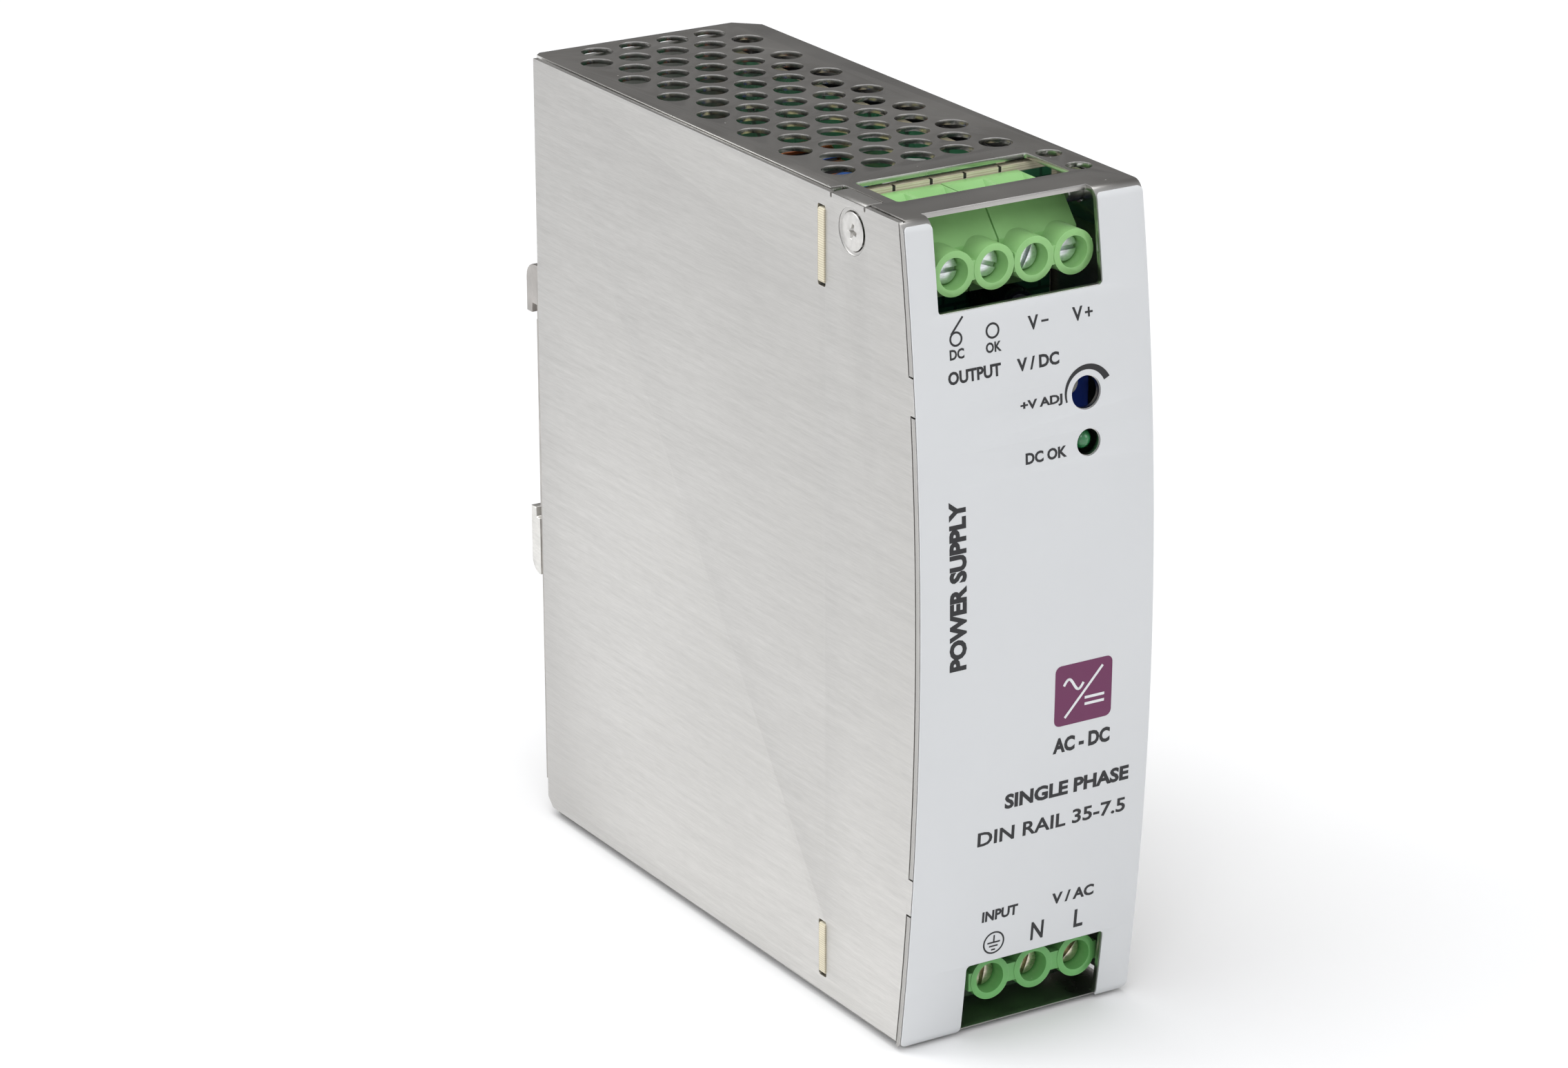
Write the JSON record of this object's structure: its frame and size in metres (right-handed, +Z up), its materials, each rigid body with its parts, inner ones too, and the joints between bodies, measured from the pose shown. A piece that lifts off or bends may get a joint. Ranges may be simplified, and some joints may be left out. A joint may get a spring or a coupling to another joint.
{
  "type": "din rail power supply",
  "caption": "Slim sheet-metal power supply for a DIN rail, with a bowed front, perforated top, screw terminals above and below, and a sprung rail latch.",
  "frame": {"origin": "centre of the bracket face that seats on the rail, on the rail's centre line", "axes": "+X across the front to the right as seen from the front, +Y back towards the rail and wall, +Z up"},
  "size_m": [0.0404, 0.1147, 0.1252],
  "materials": {
    "dark_sheet": "brushed",
    "cover_sheet": "brushed satin",
    "label_film": "matte film",
    "zinc_screw": "bright zinc",
    "nickel": "bright nickel",
    "laminate": "matte laminate",
    "board_mask": "glossy mask",
    "output_green": "satin moulded",
    "input_green": "satin moulded",
    "blue_plastic": "satin",
    "white_plastic": "satin",
    "green_lens": "clear diffused",
    "black_plastic": "matte moulded",
    "yellow_plastic": "satin moulded",
    "insulation": "satin film",
    "ceramic": "glazed",
    "blue_coating": "dipped gloss",
    "copper_winding": "enamelled wire",
    "sleeve": "shrink sleeve",
    "heat_sink": "extruded satin",
    "ferrite": "pressed ferrite",
    "yellow_tape": "polyester tape",
    "zinc_plate": "zinc plated",
    "latch_metal": "bright zinc plated",
    "spring_steel": "drawn wire"
  },
  "bodies": {
    "casing": {"face_wrap": "dark_sheet", "side_cover": "cover_sheet", "chassis": "cover_sheet", "front_label": "label_film", "cover_screw_left": "zinc_screw", "cover_screw_right": "zinc_screw", "front_board": "laminate", "output_block_left": "output_green", "output_block_right": "output_green", "input_block": "input_green", "trimmer_body": "blue_plastic", "status_led": "green_lens", "led_spacer": "black_plastic", "status_relay": "yellow_plastic", "front_capacitor": "sleeve", "main_board": "board_mask", "insulation_sheet": "insulation", "board_spacer_1": "nickel", "board_spacer_2": "nickel", "fuse": "ceramic", "inrush_thermistor": "black_plastic", "varistor": "blue_coating", "x_capacitor": "yellow_plastic", "line_choke": "copper_winding", "bridge_rectifier": "black_plastic", "bulk_capacitor_1": "sleeve", "bulk_capacitor_2": "sleeve", "output_capacitor_1": "sleeve", "output_capacitor_2": "sleeve", "output_inductor": "copper_winding", "optocoupler": "black_plastic", "control_chip": "black_plastic", "switching_transistor": "black_plastic", "output_rectifier": "black_plastic", "y_capacitor": "blue_coating", "filter_choke": "yellow_tape", "primary_heat_sink": "heat_sink", "secondary_heat_sink": "heat_sink", "transformer_core": "ferrite", "transformer_winding": "yellow_tape", "rail_bracket": "zinc_plate", "latch_spring": "spring_steel"},
    "trimmer_rotor": {"trimmer_rotor": "white_plastic"},
    "latch_slide": {"latch_slide": "latch_metal"},
    "terminal_screw_1": {"terminal_screw_1": "zinc_screw"},
    "clamp_cage_1": {"clamp_cage_1": "nickel"},
    "terminal_screw_2": {"terminal_screw_2": "zinc_screw"},
    "clamp_cage_2": {"clamp_cage_2": "nickel"},
    "terminal_screw_3": {"terminal_screw_3": "zinc_screw"},
    "clamp_cage_3": {"clamp_cage_3": "nickel"},
    "terminal_screw_4": {"terminal_screw_4": "zinc_screw"},
    "clamp_cage_4": {"clamp_cage_4": "nickel"},
    "terminal_screw_5": {"terminal_screw_5": "zinc_screw"},
    "clamp_cage_5": {"clamp_cage_5": "nickel"},
    "terminal_screw_6": {"terminal_screw_6": "zinc_screw"},
    "clamp_cage_6": {"clamp_cage_6": "nickel"},
    "terminal_screw_7": {"terminal_screw_7": "zinc_screw"},
    "clamp_cage_7": {"clamp_cage_7": "nickel"}
  },
  "joints": [
    {"name": "terminal_screw_1_turn", "type": "hinge", "parent": "casing", "child": "terminal_screw_1", "pos_m": [-0.01095, -0.1004, 0.0492], "axis": [0, -1, 0], "range_deg": [0, 1440]},
    {"name": "clamp_cage_1_slide", "type": "slide", "parent": "casing", "child": "clamp_cage_1", "axis": [0, 1, 0], "range_m": [0, 0.002]},
    {"name": "terminal_screw_2_turn", "type": "hinge", "parent": "casing", "child": "terminal_screw_2", "pos_m": [-0.00425, -0.1004, 0.0492], "axis": [0, -1, 0], "range_deg": [0, 1440]},
    {"name": "clamp_cage_2_slide", "type": "slide", "parent": "casing", "child": "clamp_cage_2", "axis": [0, 1, 0], "range_m": [0, 0.002]},
    {"name": "terminal_screw_3_turn", "type": "hinge", "parent": "casing", "child": "terminal_screw_3", "pos_m": [0.00245, -0.1004, 0.0492], "axis": [0, -1, 0], "range_deg": [0, 1440]},
    {"name": "clamp_cage_3_slide", "type": "slide", "parent": "casing", "child": "clamp_cage_3", "axis": [0, 1, 0], "range_m": [0, 0.002]},
    {"name": "terminal_screw_4_turn", "type": "hinge", "parent": "casing", "child": "terminal_screw_4", "pos_m": [0.00915, -0.1004, 0.0492], "axis": [0, -1, 0], "range_deg": [0, 1440]},
    {"name": "clamp_cage_4_slide", "type": "slide", "parent": "casing", "child": "clamp_cage_4", "axis": [0, 1, 0], "range_m": [0, 0.002]},
    {"name": "terminal_screw_5_turn", "type": "hinge", "parent": "casing", "child": "terminal_screw_5", "pos_m": [-0.00372, -0.1004, -0.0597], "axis": [0, -1, 0], "range_deg": [0, 1440]},
    {"name": "clamp_cage_5_slide", "type": "slide", "parent": "casing", "child": "clamp_cage_5", "axis": [0, 1, 0], "range_m": [0, 0.002]},
    {"name": "terminal_screw_6_turn", "type": "hinge", "parent": "casing", "child": "terminal_screw_6", "pos_m": [0.0039, -0.1004, -0.0597], "axis": [0, -1, 0], "range_deg": [0, 1440]},
    {"name": "clamp_cage_6_slide", "type": "slide", "parent": "casing", "child": "clamp_cage_6", "axis": [0, 1, 0], "range_m": [0, 0.002]},
    {"name": "terminal_screw_7_turn", "type": "hinge", "parent": "casing", "child": "terminal_screw_7", "pos_m": [0.01152, -0.1004, -0.0597], "axis": [0, -1, 0], "range_deg": [0, 1440]},
    {"name": "clamp_cage_7_slide", "type": "slide", "parent": "casing", "child": "clamp_cage_7", "axis": [0, 1, 0], "range_m": [0, 0.002]},
    {"name": "trimmer_turn", "type": "hinge", "parent": "casing", "child": "trimmer_rotor", "pos_m": [0.0086, -0.1054, 0.0297], "axis": [0, -1, 0], "range_deg": [-135, 135]},
    {"name": "latch_pull", "type": "slide", "parent": "casing", "child": "latch_slide", "axis": [0, 0, -1], "range_m": [0, 0.0045], "stiffness_N_per_m": 1500, "springref_m": -0.003, "deforming": ["latch_spring"]}
  ],
  "couplings": [
    {"joint": "terminal_screw_1_turn", "follows": "clamp_cage_1_slide", "rad_per_m": 12566},
    {"joint": "terminal_screw_2_turn", "follows": "clamp_cage_2_slide", "rad_per_m": 12566},
    {"joint": "terminal_screw_3_turn", "follows": "clamp_cage_3_slide", "rad_per_m": 12566},
    {"joint": "terminal_screw_4_turn", "follows": "clamp_cage_4_slide", "rad_per_m": 12566},
    {"joint": "terminal_screw_5_turn", "follows": "clamp_cage_5_slide", "rad_per_m": 12566},
    {"joint": "terminal_screw_6_turn", "follows": "clamp_cage_6_slide", "rad_per_m": 12566},
    {"joint": "terminal_screw_7_turn", "follows": "clamp_cage_7_slide", "rad_per_m": 12566}
  ]
}
